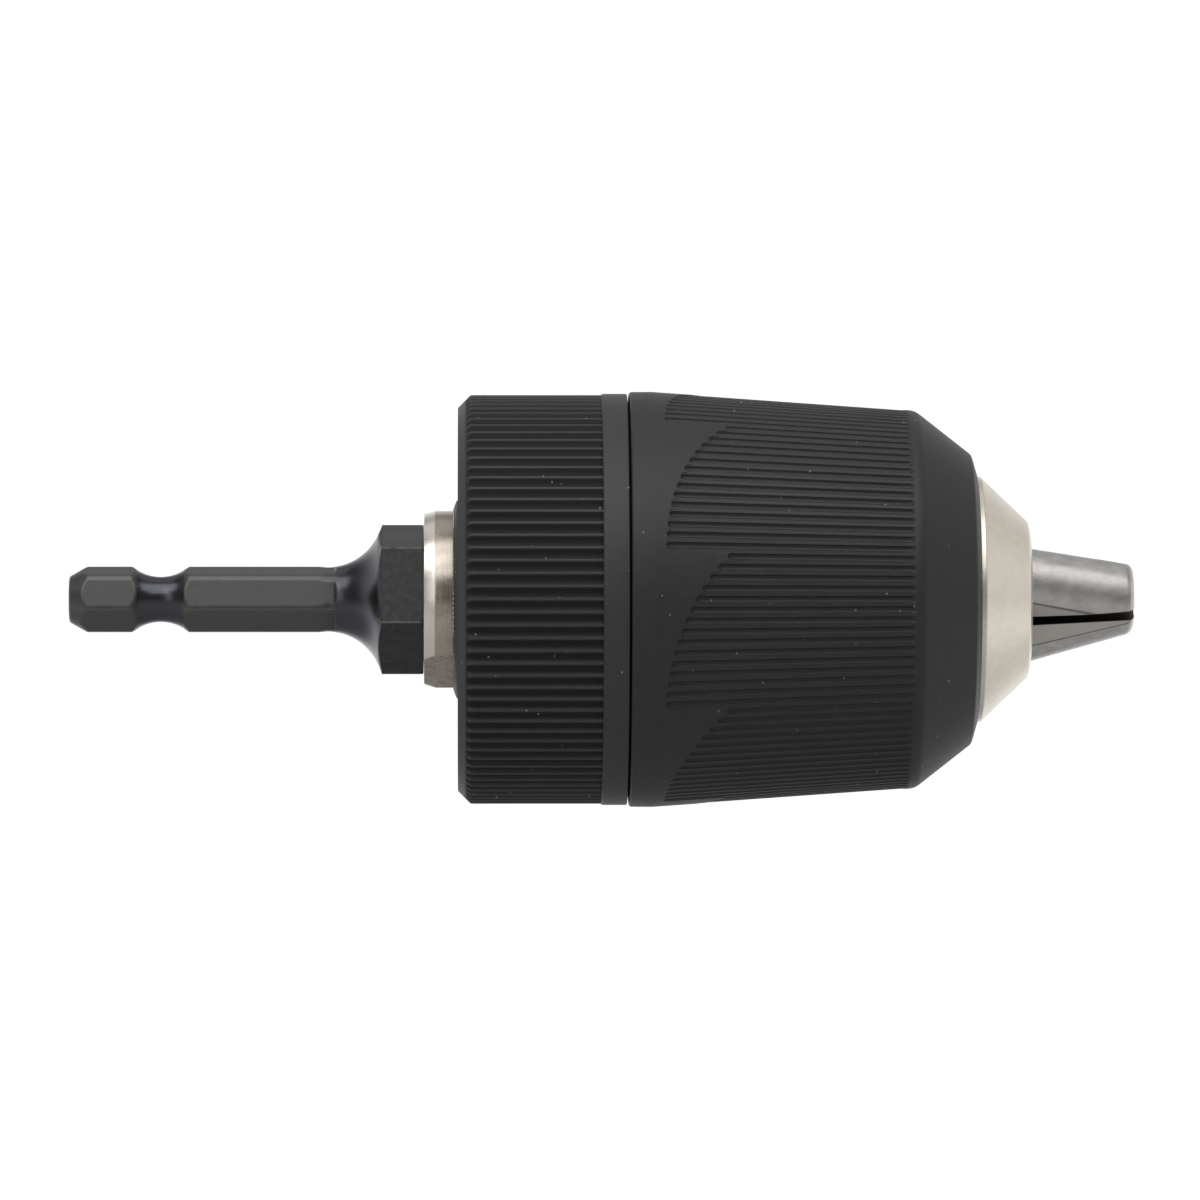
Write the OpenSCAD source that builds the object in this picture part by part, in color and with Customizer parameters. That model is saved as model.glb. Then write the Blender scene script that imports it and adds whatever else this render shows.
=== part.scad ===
// Keyless two-sleeve drill chuck on a quarter-inch hex quick-change shank.
// X runs along the chuck's axis from the shank's end face to the jaw tips, and Z is up.
// A station is a distance along X. A roll angle starts on the -Y side and turns up towards +Z.

/* [Shank adapter] */
// Width across the flats of the quick-change shank
shank_flats = 6.35; // [6.2:0.05:6.35]
// Diameter over the shank's rounded corners
shank_corners = 7.02; // [6.8:0.02:7.2]
// Station of the middle of the ball-detent groove
detent_at = 9.65; // [9.2:0.05:10.2]
// Root diameter of the ball-detent groove
detent_root = 4.78; // [4.5:0.02:5.2]
// Radius of the round bottom of the ball-detent groove
detent_radius = 4.6; // [4:0.1:5.2]
// Radius of the round flare between the shank and its hex flange
flare_radius = 6; // [5:0.25:7]
// Width across the flats of the hex flange
flange_flats = 14; // [13:0.5:15]
// Major diameter of the threaded stud, half-inch UNF
stud_dia = 12.6; // [12.5:0.05:12.65]
// Length of the threaded stud
stud_length = 15; // [12:0.5:15.5]

/* [Chuck body] */
// Station of the body's rear end, where the hex flange meets it
body_at = 37.5; // [37:0.5:38]
// Diameter of the bare tail behind the rear sleeve
tail_dia = 18.7; // [18:0.1:19]
// Distance across the tail's two spanner flats
tail_flats = 17.2; // [16.5:0.1:17.6]
// Diameter of the barrel that carries the jaws
barrel_dia = 36.8; // [36:0.2:36.8]
// Diameter of the bore that takes the tool's shank
throat_dia = 13.6; // [13:0.1:14]

/* [Jaws] */
// Diameter of a jaw's round pin
pin_dia = 8.2; // [8:0.05:8.4]
// Angle between a jaw's pin and the chuck's axis
jaw_tilt = 15.6; // [15:0.1:16]
// Station where the pins' axes cross the chuck's axis, with the jaws closed
jaw_cross = 109.8; // [109.4:0.1:110.2]
// Station of the closed jaws' tips
tip_at = 112.5; // [111:0.5:113]
// Roll angle of the first jaw
jaw_roll = 32; // [0:0.5:120]
// Gap between the flanks of two closed jaws
flank_gap = 0.9; // [0.6:0.05:1.2]
// Pitch of the jaw teeth along the pin, and the jaws' travel for one turn of the sleeve
tooth_pitch = 2; // [1.8:0.1:2.2]

/* [Sleeves] */
// Largest diameter of the rear sleeve, at its plain band
rear_dia = 43.5; // [43.4:0.1:44]
// Number of flutes round the rear sleeve
flute_count = 100; // [80:2:100]
// Largest diameter of the front sleeve
front_dia = 43.92; // [43.8:0.02:44.2]
// Number of fin-shaped groove fields round the front sleeve
fin_count = 8; // [6:1:8]
// Number of grooves in one field
fin_grooves = 15; // [12:1:15]

/* [Thrust bearing] */
// Diameter of a bearing ball
ball_dia = 1.588; // [1.5:0.01:1.6]
// Number of bearing balls
ball_count = 30; // [20:1:32]

/* [Hidden] */
$fn = 64;

black_oxide = "#3b3836";
nickel = "#a89f92";
satin_nickel = "#cdc4b6";
black_plastic = "#2f3032";
jaw_steel = "#8d8a8e";
bearing_steel = "#b9bcc0";
zinc_steel = "#9da3a8";
cage_brass = "#b58d3f";

eps = 0.01;

// Shank adapter
shank_end_r = 2.4;
shank_full_at = 1.95;
neck_r = 3.4;
neck_at = 27.2;
flange_seam = 0.06;
flange_corner_r = 8;
stud_chamfer = 0.8;
screw_hole_r = 3;
screw_hole_depth = 10;

// Chuck body
thread_hole_r = 6.35;
thread_hole_end = 54;
web_hole_r = 3.2;
throat_at = 58;
throat_r = throat_dia / 2;
tail_r = tail_dia / 2;
tail_face_r = 9.04;
tail_chamfer_at = body_at + 1.1;
seat_r = 9.6;
seat_at = 40.7;
seat_end = 46;
shoulder_r = 12;
barrel_at = 49.5;
barrel_r = barrel_dia / 2;
barrel_end = 67;
bearing_core_r = 15.9;
bearing_core_end = 71;
nut_core_r = 11.6;
nut_core_end = 79.9;
guide_r = 13.6;
guide_end = 90;
lip_seat_r = 12.22;
lip_seat_end = 93.5;
ring_seat_r = 11.4;
ring_seat_end = 96.3;
body_end = 100;
body_end_r = 8;
tail_flat_roll = -62;
pin_clearance = 0.05;

// Nose ring
ring_r = 12.95;
ring_at = lip_seat_end + 0.1;
ring_cone_at = 96.4;
ring_cone_r = 12.8;
nose_at = 101.5;
nose_round_at = 101.2;
nose_r = 7.7;
nose_round_r = 8.5;
ring_clearance = 0.25;

// Jaws
pin_r = pin_dia / 2;
jaw_rear_at = 71;
pin_length = (jaw_cross - jaw_rear_at) / cos(jaw_tilt);
pin_front = 6;
grip_land_at = 0.75;
heel_r = 13.6;
tip_chamfer = 1.6;
tip_face_r = 2.75;
tooth_depth = 0.7;
tooth_from = 76.3;
tooth_to = 99.4;
tooth_step = tooth_pitch * cos(jaw_tilt);
tooth_half = 0.7;

// Nut, its jacket and the thrust bearing
nut_at = 71.2;
nut_end = 79.4;
nut_r = 18.6;
nut_clearance = 0.15;
nut_split = 0.2;
jacket_r = 19.3;
jacket_at = 62;
slot_count = 4;
slot_width = 5;
slot_end = 66;
race_outer_r = 18.4;
race_inner_r = 16.4;
rear_race_end = 68.2;
ball_circle_r = 17.25;
ball_r = ball_dia / 2;
ball_at = rear_race_end + 0.025 + ball_r;
front_race_at = ball_at + ball_r + 0.025;
cage_inner_r = 16.12;
cage_half = 0.45;
cage_play = 0.06;

// Retaining screw
screw_r = 2.9;
screw_tip = 45;
screw_head_r = 5;
screw_head_end = 61.3;
screw_socket = 4;
screw_socket_depth = 2.4;

// Rear sleeve
rear_r = rear_dia / 2;
rear_at = 40.95;
rear_end = 58.92;
rear_face_r = 20.7;
rear_chamfer_at = 42.1;
crest_r = 21.62;
flute_r = 0.53;
flute_depth = 0.48;
flute_end = 56.5;
rear_wall_r = 19.75;
rear_web_at = 43.6;
rear_hub_r = 12.2;

// Front sleeve
front_r = front_dia / 2;
front_at = 59.12;
front_wall_r = jacket_r;
grip_from = 62.4;
grip_r = front_r - 0.08;
grip_to = 88.7;
grip_end_r = 19.95;
front_cone_at = 95.3;
front_cone_r = 15.35;
front_end = 95.9;
front_face_r = 14.7;
ring_pocket_r = 13.2;
running_clearance = 0.08;
hub_wall = 2;
cored_to = 87.5;
cored_wall = 2.2;
fin_lowest = 14.5;
fin_base_at = 63.3;
fin_radius = 25;
fin_end = 88.4;
groove_r = 0.36;
groove_depth = 0.28;
lug_play = 0.1;
fin_angle = 360 / fin_count;
grip_slope = atan((grip_r - grip_end_r) / (grip_to - grip_from));

// Radius of the closed jaws' outermost line at a station
function jaw_line(at) = (jaw_cross - at) * tan(jaw_tilt) + pin_r / cos(jaw_tilt);

// Radius of the front sleeve's smooth surface at a station along its grip
function grip_radius(at) = grip_r - (at - grip_from) * tan(grip_slope);

// Station where the groove at an angle above its field's lowest line starts
function groove_start(angle) = fin_base_at + fin_radius
    - sqrt(pow(fin_radius, 2) - pow(grip_r * angle * PI / 180, 2));

// Turns an outline of [radius, station] points about the chuck's axis
module turned(outline) {
    rotate([0, 90, 0]) rotate_extrude() polygon(outline);
}

// Carries a feature from the -Y side round to a roll angle
module rolled(angle) {
    rotate([-angle, 0, 0]) children();
}

// A round bar along the chuck's axis between two stations
module bar(from, to, radius) {
    translate([from, 0, 0]) rotate([0, 90, 0]) cylinder(h = to - from, r = radius);
}

// A hexagonal bar whose first corner is at a roll angle
module hex_bar(from, to, flats, roll) {
    rolled(roll)
        translate([from, 0, 0])
            rotate([0, 90, 0])
                rotate([0, 0, 90])
                    cylinder(h = to - from, d = flats / cos(30), $fn = 6);
}

// Places a shape on a jaw's pin: its Z runs back along the pin from the crossing point
module on_pin() {
    translate([jaw_cross, 0, 0]) rotate([0, 0, jaw_tilt]) rotate([0, -90, 0]) children();
}

hex_roll = -17.5;
shank_r = shank_corners / 2;
detent_centre_r = detent_root / 2 + detent_radius;
flare_centre_r = neck_r + flare_radius;
flange_end = body_at - flange_seam;
flange_at = neck_at + sqrt(pow(flare_radius, 2) - pow(flare_centre_r - flange_corner_r, 2));

module hex_adapter() {
    color(black_oxide)
        difference() {
            union() {
                intersection() {
                    hex_bar(0, neck_at + 1, shank_flats, hex_roll);
                    turned([[0, 0], [shank_end_r, 0], [shank_r, shank_full_at],
                        [shank_r, neck_at + 1], [0, neck_at + 1]]);
                }
                intersection() {
                    hex_bar(neck_at, flange_end, flange_flats, hex_roll);
                    difference() {
                        bar(neck_at, flange_end, flange_corner_r);
                        rotate([0, 90, 0])
                            rotate_extrude()
                                difference() {
                                    translate([neck_r, neck_at - eps])
                                        square([flare_radius, flare_radius]);
                                    flare_metal();
                                }
                    }
                }
                stud_r = stud_dia / 2;
                stud_end = flange_end + stud_length;
                turned([[0, flange_end - 1], [stud_r - stud_chamfer, flange_end - 1],
                    [stud_r - stud_chamfer, flange_end + 1.2], [stud_r, flange_end + 2],
                    [stud_r, stud_end - stud_chamfer], [stud_r - stud_chamfer, stud_end], [0, stud_end]]);
            }
            rotate([0, 90, 0])
                rotate_extrude()
                    translate([detent_centre_r, detent_at]) circle(r = detent_radius);
            bar(flange_end + stud_length - screw_hole_depth, flange_end + stud_length + 1, screw_hole_r);
        }
}

// Outline of the metal that the round flare leaves in front of the neck
module flare_metal() {
    difference() {
        translate([0, neck_at - 1]) square([flare_centre_r + 1, flare_radius + 2]);
        translate([flare_centre_r, neck_at]) circle(r = flare_radius);
    }
}

module retaining_screw() {
    color(zinc_steel)
        difference() {
            turned([[0, screw_tip], [screw_r - 0.5, screw_tip], [screw_r, screw_tip + 0.5],
                [screw_r, throat_at], [screw_head_r, throat_at], [screw_head_r, screw_head_end - 0.5],
                [screw_head_r - 0.5, screw_head_end], [0, screw_head_end]]);
            hex_bar(screw_head_end - screw_socket_depth, screw_head_end + 1, screw_socket, 0);
        }
}

module chuck_body() {
    color(nickel)
        difference() {
            turned([[0, body_at], [tail_face_r, body_at], [tail_r - 0.08, tail_chamfer_at],
                [tail_r, tail_chamfer_at + 0.12], [tail_r, seat_at], [seat_r, seat_at], [seat_r, seat_end],
                [shoulder_r, seat_end], [barrel_r, barrel_at], [barrel_r, barrel_end],
                [bearing_core_r, barrel_end], [bearing_core_r, bearing_core_end],
                [nut_core_r, bearing_core_end], [nut_core_r, nut_core_end], [guide_r, nut_core_end],
                [guide_r, guide_end], [lip_seat_r, guide_end], [lip_seat_r, lip_seat_end],
                [ring_seat_r, lip_seat_end], [ring_seat_r, ring_seat_end], [body_end_r, body_end],
                [0, body_end]]);
            bar(body_at - 1, thread_hole_end, thread_hole_r);
            bar(thread_hole_end - 1, throat_at + 1, web_hole_r);
            bar(throat_at, body_end + 1, throat_r);
            for (side = [0, 1])
                rolled(tail_flat_roll + 180 * side)
                    translate([body_at - 1, -tail_r - tail_flats / 2, -tail_r])
                        cube([seat_at - body_at + 1, tail_r, tail_dia]);
            for (jaw = [0 : 2])
                rolled(jaw_roll + 120 * jaw)
                    on_pin() cylinder(h = 70, r = pin_r + pin_clearance);
        }
}

module nose_ring() {
    color(satin_nickel)
        turned([[ring_seat_r, ring_at], [ring_r - 0.3, ring_at], [ring_r, ring_at + 0.3],
            [ring_r, ring_cone_at - 0.2], [ring_cone_r, ring_cone_at],
            [nose_round_r, nose_round_at], [nose_r, nose_at],
            [jaw_line(nose_at) + ring_clearance, nose_at],
            [jaw_line(body_end) + ring_clearance, body_end + 0.05],
            [body_end_r, body_end + 0.05], [ring_seat_r, ring_seat_end]]);
}

module rear_sleeve() {
    color(black_plastic)
        difference() {
            intersection() {
                turned([[0, rear_at], [rear_face_r, rear_at], [crest_r, rear_chamfer_at],
                    [rear_r, rear_chamfer_at + 0.2], [rear_r, rear_end - 0.15],
                    [rear_r - 0.15, rear_end], [0, rear_end]]);
                union() {
                    translate([rear_at - 1, 0, 0])
                        rotate([0, 90, 0])
                            linear_extrude(flute_end - rear_at + 1)
                                difference() {
                                    circle(r = crest_r);
                                    for (flute = [0 : flute_count - 1])
                                        rotate(360 * flute / flute_count)
                                            translate([crest_r - flute_depth + flute_r, 0])
                                                circle(r = flute_r, $fn = 16);
                                }
                    bar(flute_end, rear_end + 1, rear_r + 1);
                }
            }
            turned([[0, rear_at - 1], [seat_r, rear_at - 1], [seat_r, seat_end],
                [rear_hub_r, seat_end], [rear_hub_r + 0.4, rear_web_at], [rear_wall_r - 0.6, rear_web_at],
                [rear_wall_r, rear_web_at + 0.8], [rear_wall_r, rear_end + 1], [0, rear_end + 1]]);
        }
}

module front_sleeve() {
    hub_r = guide_r + running_clearance + hub_wall;
    color(black_plastic)
        difference() {
            union() {
                difference() {
                    turned([[0, front_at], [front_r - 0.15, front_at], [front_r, front_at + 0.15],
                        [front_r, front_at + 1.2], [grip_r, grip_from], [grip_end_r, grip_to],
                        [front_cone_r, front_cone_at], [front_face_r, front_end], [0, front_end]]);
                    turned([[0, front_at - 1], [front_wall_r + 0.3, front_at - 1],
                        [front_wall_r + 0.3, jacket_at - 0.5], [front_wall_r, jacket_at],
                        [front_wall_r, nut_end],
                        [grip_radius(nut_end) - cored_wall, nut_end],
                        [grip_radius(cored_to) - cored_wall, cored_to], [hub_r + 0.5, cored_to],
                        [hub_r, nut_end],
                        [guide_r + running_clearance, nut_end],
                        [guide_r + running_clearance, guide_end + 0.1],
                        [lip_seat_r + running_clearance, guide_end + 0.1],
                        [lip_seat_r + running_clearance, lip_seat_end - 0.1],
                        [ring_pocket_r, lip_seat_end - 0.1], [ring_pocket_r, front_end + 1],
                        [0, front_end + 1]]);
                }
                lugs(slot_width - lug_play, slot_end - lug_play, front_wall_r + 0.3);
            }
            for (fin = [0 : fin_count - 1], groove = [0 : fin_grooves - 1]) {
                angle = (groove + 0.5) * fin_angle / fin_grooves;
                start = groove_start(angle);
                rolled(fin_lowest + fin_angle * fin + angle)
                    translate([start, -grip_radius(start) + groove_depth - groove_r, 0])
                        rotate([0, 0, grip_slope])
                            rotate([0, 90, 0])
                                cylinder(h = (fin_end - start) / cos(grip_slope), r = groove_r, $fn = 16);
            }
        }
}

// The blocks that key the front sleeve to the nut jacket
module lugs(width, end, outer_r) {
    intersection() {
        turned([[nut_r + lug_play, jacket_at - 0.5], [outer_r, jacket_at - 0.5], [outer_r, end],
            [nut_r + lug_play, end]]);
        for (slot = [0 : slot_count - 1])
            rolled(360 * slot / slot_count)
                translate([jacket_at - 1, -front_r, -width / 2])
                    cube([end - jacket_at + 2, 6, width]);
    }
}

module nut_jacket() {
    color(zinc_steel)
        difference() {
            turned([[nut_r, jacket_at], [jacket_r, jacket_at], [jacket_r, nut_end], [nut_r, nut_end]]);
            for (slot = [0 : slot_count - 1])
                rolled(360 * slot / slot_count)
                    translate([jacket_at - 1, -front_r, -slot_width / 2])
                        cube([slot_end - jacket_at + 1, 6, slot_width]);
        }
}

// The nut's ring, whose taper follows the teeth of the three jaws
module nut_ring() {
    turned([[jaw_line(nut_at) + nut_clearance, nut_at], [nut_r - 0.4, nut_at], [nut_r, nut_at + 0.4],
        [nut_r, nut_end], [jaw_line(nut_end) + nut_clearance, nut_end]]);
}

// One half of the split nut, on the -Y side
module nut_half() {
    intersection() {
        nut_ring();
        translate([nut_at - 1, -nut_r - 1, -nut_r - 1])
            cube([nut_end - nut_at + 2, nut_r + 1 - nut_split / 2, 2 * nut_r + 2]);
    }
}

module nut_half_a() {
    color(jaw_steel) nut_half();
}

module nut_half_b() {
    color(jaw_steel) rolled(180) nut_half();
}

// A flat hardened washer for the balls to run on
module race(from, to) {
    turned([[race_inner_r, from], [race_outer_r, from], [race_outer_r, to], [race_inner_r, to]]);
}

module rear_race() {
    color(bearing_steel) race(barrel_end, rear_race_end);
}

module front_race() {
    color(bearing_steel) race(front_race_at, nut_at);
}

module ball_cage() {
    color(cage_brass)
        difference() {
            turned([[cage_inner_r, ball_at - cage_half], [race_outer_r, ball_at - cage_half],
                [race_outer_r, ball_at + cage_half], [cage_inner_r, ball_at + cage_half]]);
            for (ball = [0 : ball_count - 1])
                rolled(360 * ball / ball_count)
                    translate([0, -ball_circle_r, 0])
                        bar(ball_at - 1, ball_at + 1, ball_r + cage_play);
        }
}

module bearing_balls() {
    color(bearing_steel)
        for (ball = [0 : ball_count - 1])
            rolled(360 * ball / ball_count)
                translate([ball_at, -ball_circle_r, 0]) sphere(r = ball_r);
}

// One jaw on the -Y side: a tilted pin with a wedge-shaped grip and teeth on its outer side
module jaw() {
    far = 20;
    apex = flank_gap / 2 / sin(60);
    color(jaw_steel)
        difference() {
            intersection() {
                on_pin() translate([0, 0, -pin_front]) cylinder(h = pin_length + pin_front, r = pin_r);
                turned([[0, 60], [heel_r, 60], [heel_r, 100], [tip_face_r + tip_chamfer, tip_at - tip_chamfer],
                    [tip_face_r, tip_at], [0, tip_at]]);
                translate([60, 0, 0])
                    rotate([90, 0, 90])
                        linear_extrude(60)
                            polygon([[-grip_land_at, (grip_land_at - apex) * tan(60)],
                                [-apex - far * cos(60), far * sin(60)], [-far, far * sin(60)],
                                [-far, -far * sin(60)], [-apex - far * cos(60), -far * sin(60)],
                                [-grip_land_at, -(grip_land_at - apex) * tan(60)]]);
            }
            for (at = [tooth_from : tooth_step : tooth_to])
                turned([[jaw_line(at) - tooth_depth, at], [jaw_line(at - tooth_half) + 0.6, at - tooth_half],
                    [jaw_line(at + tooth_half) + 0.6, at + tooth_half]]);
        }
}

module jaw_1() {
    rolled(jaw_roll) jaw();
}

module jaw_2() {
    rolled(jaw_roll + 120) jaw();
}

module jaw_3() {
    rolled(jaw_roll + 240) jaw();
}

hex_adapter();
retaining_screw();
chuck_body();
nose_ring();
rear_sleeve();
front_sleeve();
nut_jacket();
nut_half_a();
nut_half_b();
rear_race();
front_race();
ball_cage();
bearing_balls();
jaw_1();
jaw_2();
jaw_3();
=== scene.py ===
# %% [markdown]
# # A keyless drill chuck, lit and finished
#
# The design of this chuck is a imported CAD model: its parts, sizes and joints are settled. Blender's work is
# the looks, so this lesson loads that model as a fixed frame and makes a finer piece for each part that
# shows. Every piece is built in millimetres with the chuck's axis along X, then scaled to metres in one
# place.

# %% Load the frame
import math

import bmesh
import bpy
from mathutils import Matrix, Vector


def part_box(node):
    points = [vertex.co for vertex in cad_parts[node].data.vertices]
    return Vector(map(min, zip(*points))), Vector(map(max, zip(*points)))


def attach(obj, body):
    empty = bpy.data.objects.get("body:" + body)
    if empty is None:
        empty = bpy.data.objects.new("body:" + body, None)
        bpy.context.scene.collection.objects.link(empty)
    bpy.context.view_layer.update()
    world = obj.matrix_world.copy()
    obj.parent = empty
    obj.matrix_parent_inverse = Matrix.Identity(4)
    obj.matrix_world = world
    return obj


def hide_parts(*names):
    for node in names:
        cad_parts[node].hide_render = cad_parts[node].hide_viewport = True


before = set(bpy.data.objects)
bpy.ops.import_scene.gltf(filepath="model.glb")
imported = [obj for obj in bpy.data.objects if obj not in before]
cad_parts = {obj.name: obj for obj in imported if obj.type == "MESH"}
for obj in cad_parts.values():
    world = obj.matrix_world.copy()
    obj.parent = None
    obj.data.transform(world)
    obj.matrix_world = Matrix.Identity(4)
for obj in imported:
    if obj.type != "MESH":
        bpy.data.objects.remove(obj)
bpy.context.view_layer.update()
MM = 0.001
AXIS = Vector((1, 0, 0))
scene = bpy.context.scene
print("nodes in the frame:", ", ".join(sorted(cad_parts)))

# %% [markdown]
# The CAD model also says where things are. A station is a distance along the axis in millimetres, and a span
# is the two stations that a node lies between, with its largest radius. Reading them keeps every piece in its
# own place.

# %% Stations and radii from the frame
def span(node):
    """A node's rear station, front station and largest radius, in millimetres."""
    low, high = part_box(node)
    return low.x / MM, high.x / MM, max(high.y, high.z, -low.y, -low.z) / MM


REAR_AT, REAR_END, REAR_R = span("rear_sleeve")
FRONT_AT, FRONT_END, FRONT_R = span("front_sleeve")
BODY_AT, BODY_END, BARREL_R = span("chuck_body")
RING_AT, NOSE_AT, RING_R = span("nose_ring")
TIP_AT = span("jaw_1")[1]
STUD_END = span("hex_adapter")[1]
print(f"rear sleeve {REAR_AT:.2f} to {REAR_END:.2f} mm, front sleeve {FRONT_AT:.2f} to {FRONT_END:.2f} mm")


def facing(roll):
    """The direction at a roll angle: 0 degrees is -Y, and 90 degrees is +Z."""
    angle = math.radians(roll)
    return Vector((0, -math.cos(angle), math.sin(angle)))


def roll_of(point):
    """The roll angle of a point about the chuck's axis, in degrees."""
    return math.degrees(math.atan2(point.z, -point.y))


def radius_of(point):
    """The distance of a point from the chuck's axis."""
    return math.hypot(point.y, point.z)


def placed(station, radius, roll):
    """A point at a station, a distance from the axis and a roll angle."""
    return AXIS * station + facing(roll) * radius


# %% [markdown]
# ## Turned parts
#
# Almost everything on a chuck comes off a lathe or out of a round mould, so its shape is one outline spun
# about the axis. An outline here is a list of corners, and each corner may carry a rounding. A real edge is
# never perfectly sharp: the small arc is what catches a line of light and makes a part look solid.

# %% Outlines
def points(*corners):
    """Corners (station, radius) as vectors, for an outline without roundings."""
    return [Vector(corner) for corner in corners]


def rounded(corners, segments=4, closed=True):
    """Turns corners (station, radius, rounding) into a line, with an arc where a corner has a rounding."""
    line = []
    for index, (station, radius, rounding) in enumerate(corners):
        here = Vector((station, radius))
        ends = not closed and index in (0, len(corners) - 1)
        if not rounding or ends:
            line.append(here)
            continue
        before = (Vector(corners[index - 1][:2]) - here).normalized()
        after = (Vector(corners[(index + 1) % len(corners)][:2]) - here).normalized()
        half = before.angle(after) / 2
        centre = here + (before + after).normalized() * (rounding / math.sin(half))
        start = (here + before * (rounding / math.tan(half)) - centre).normalized()
        finish = (here + after * (rounding / math.tan(half)) - centre).normalized()
        line += [centre + start.slerp(finish, k / segments) * rounding for k in range(segments + 1)]
    return line


# %% Spinning
def everything(bm):
    """All the geometry of a bmesh, as its operators take it."""
    return bm.verts[:] + bm.edges[:] + bm.faces[:]


def spun(line, steps, first_roll=0, rows=None, sectors=8):
    """Spins an outline about the chuck's axis. rows gives each point a number that its whole ring keeps.

    A long spin slows down as it grows, so one sector is spun and then copied round.
    """
    bm = bmesh.new()
    row = bm.verts.layers.int.new("row")
    ring = []
    for index, point in enumerate(line):
        vertex = bm.verts.new(placed(point.x, point.y, first_roll))
        vertex[row] = rows[index] if rows else 0
        ring.append(vertex)
    edges = [bm.edges.new(pair) for pair in zip(ring, ring[1:] + ring[:1])]
    bmesh.ops.spin(bm, geom=ring + edges, cent=(0, 0, 0), axis=AXIS, dvec=(0, 0, 0),
                   angle=-math.tau / sectors, steps=steps // sectors, use_merge=False)
    sector = everything(bm)
    for index in range(1, sectors):
        copied = bmesh.ops.duplicate(bm, geom=sector)["geom"]
        bmesh.ops.rotate(bm, verts=[item for item in copied if isinstance(item, bmesh.types.BMVert)],
                         cent=(0, 0, 0), matrix=Matrix.Rotation(-math.tau * index / sectors, 3, "X"))
    bmesh.ops.remove_doubles(bm, verts=bm.verts, dist=1e-3)
    bmesh.ops.recalc_face_normals(bm, faces=bm.faces)
    return bm


# %% [markdown]
# A finished bmesh becomes an object in one place. It is scaled to metres, shaded smooth with its true corners
# kept sharp, given its finish and parented to the body it rides on, and the CAD node it stands for is hidden.
# The Weighted Normal modifier keeps broad faces flat to the eye beside their narrow roundings.

# %% Hand a finished mesh to the frame
def object_from(name, bm):
    """Moves a bmesh into a new object of the scene."""
    mesh = bpy.data.meshes.new(name)
    bm.to_mesh(mesh)
    bm.free()
    made = bpy.data.objects.new(name, mesh)
    scene.collection.objects.link(made)
    return made


def become_piece(name, bm, body, node, finish, sharp=35):
    """Makes the object for a bmesh in millimetres, gives it its finish, parents it to its body and hides the
    CAD node it stands for.
    """
    bmesh.ops.scale(bm, vec=(MM, MM, MM), verts=bm.verts)
    piece = object_from(name, bm)
    mesh = piece.data
    mesh.shade_smooth()
    mesh.set_sharp_from_angle(angle=math.radians(sharp))
    shading = piece.modifiers.new("even_shading", "WEIGHTED_NORMAL")
    shading.keep_sharp = True
    mesh.materials.append(finish.material)
    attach(piece, body)
    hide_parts(node)
    triangles = sum(len(polygon.vertices) - 2 for polygon in mesh.polygons)
    print(f"{name}: {triangles} triangles")
    return piece


# %% [markdown]
# ## Shader maths
#
# A finish is a small node tree. Wrapping a socket in a class that knows plus, minus and times lets the lesson
# write masks as formulas, and one method adds every other kind of node.

# %% Wires
class Wire:
    """An output socket that takes part in arithmetic."""

    def __init__(self, tree, socket):
        self.tree = tree
        self.socket = socket

    def maths(self, operation, *others):
        """A Math node on this wire and the others."""
        return self.tree.node("ShaderNodeMath", {"operation": operation}, dict(enumerate((self, *others))))

    def __add__(self, other):
        return self.maths("ADD", other)

    def __sub__(self, other):
        return self.maths("SUBTRACT", other)

    def __rsub__(self, other):
        return self.tree.node("ShaderNodeMath", {"operation": "SUBTRACT"}, {0: other, 1: self})

    def __mul__(self, other):
        return self.maths("MULTIPLY", other)

    __radd__ = __add__
    __rmul__ = __mul__

    def __pow__(self, other):
        return self.maths("POWER", other)

    def above(self, low, high):
        """0 below low, 1 above high and a smooth step between."""
        return self.tree.node("ShaderNodeMapRange", {"interpolation_type": "SMOOTHSTEP"},
                              {"Value": self, "From Min": low, "From Max": high})


# %% Node trees
class Tree:
    """A node tree, of a material or of the world."""

    def __init__(self, owner):
        owner.use_nodes = True
        self.nodes = owner.node_tree.nodes
        self.links = owner.node_tree.links

    def plug(self, socket, value):
        """Links a wire to an input socket, or sets the socket to a plain value."""
        if isinstance(value, Wire):
            self.links.new(value.socket, socket)
        else:
            socket.default_value = value

    def node(self, kind, settings=None, inputs=None, output=0):
        """Adds any node: its settings first, then its sockets."""
        made = self.nodes.new(kind)
        for name, value in (settings or {}).items():
            setattr(made, name, value)
        for socket, value in (inputs or {}).items():
            self.plug(made.inputs[socket], value)
        return Wire(self, made.outputs[output])

    def axes(self, vector):
        """The three parts of a vector, each as a wire."""
        split = self.node("ShaderNodeSeparateXYZ", {}, {0: vector}).socket.node
        return [Wire(self, split.outputs[axis]) for axis in "XYZ"]


# %% [markdown]
# Every pattern is placed by the piece's own coordinates, so that it stays on the piece when that moves. A
# turned part is easier to describe by a station, a radius and an angle, so a finish gives those too.

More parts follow.
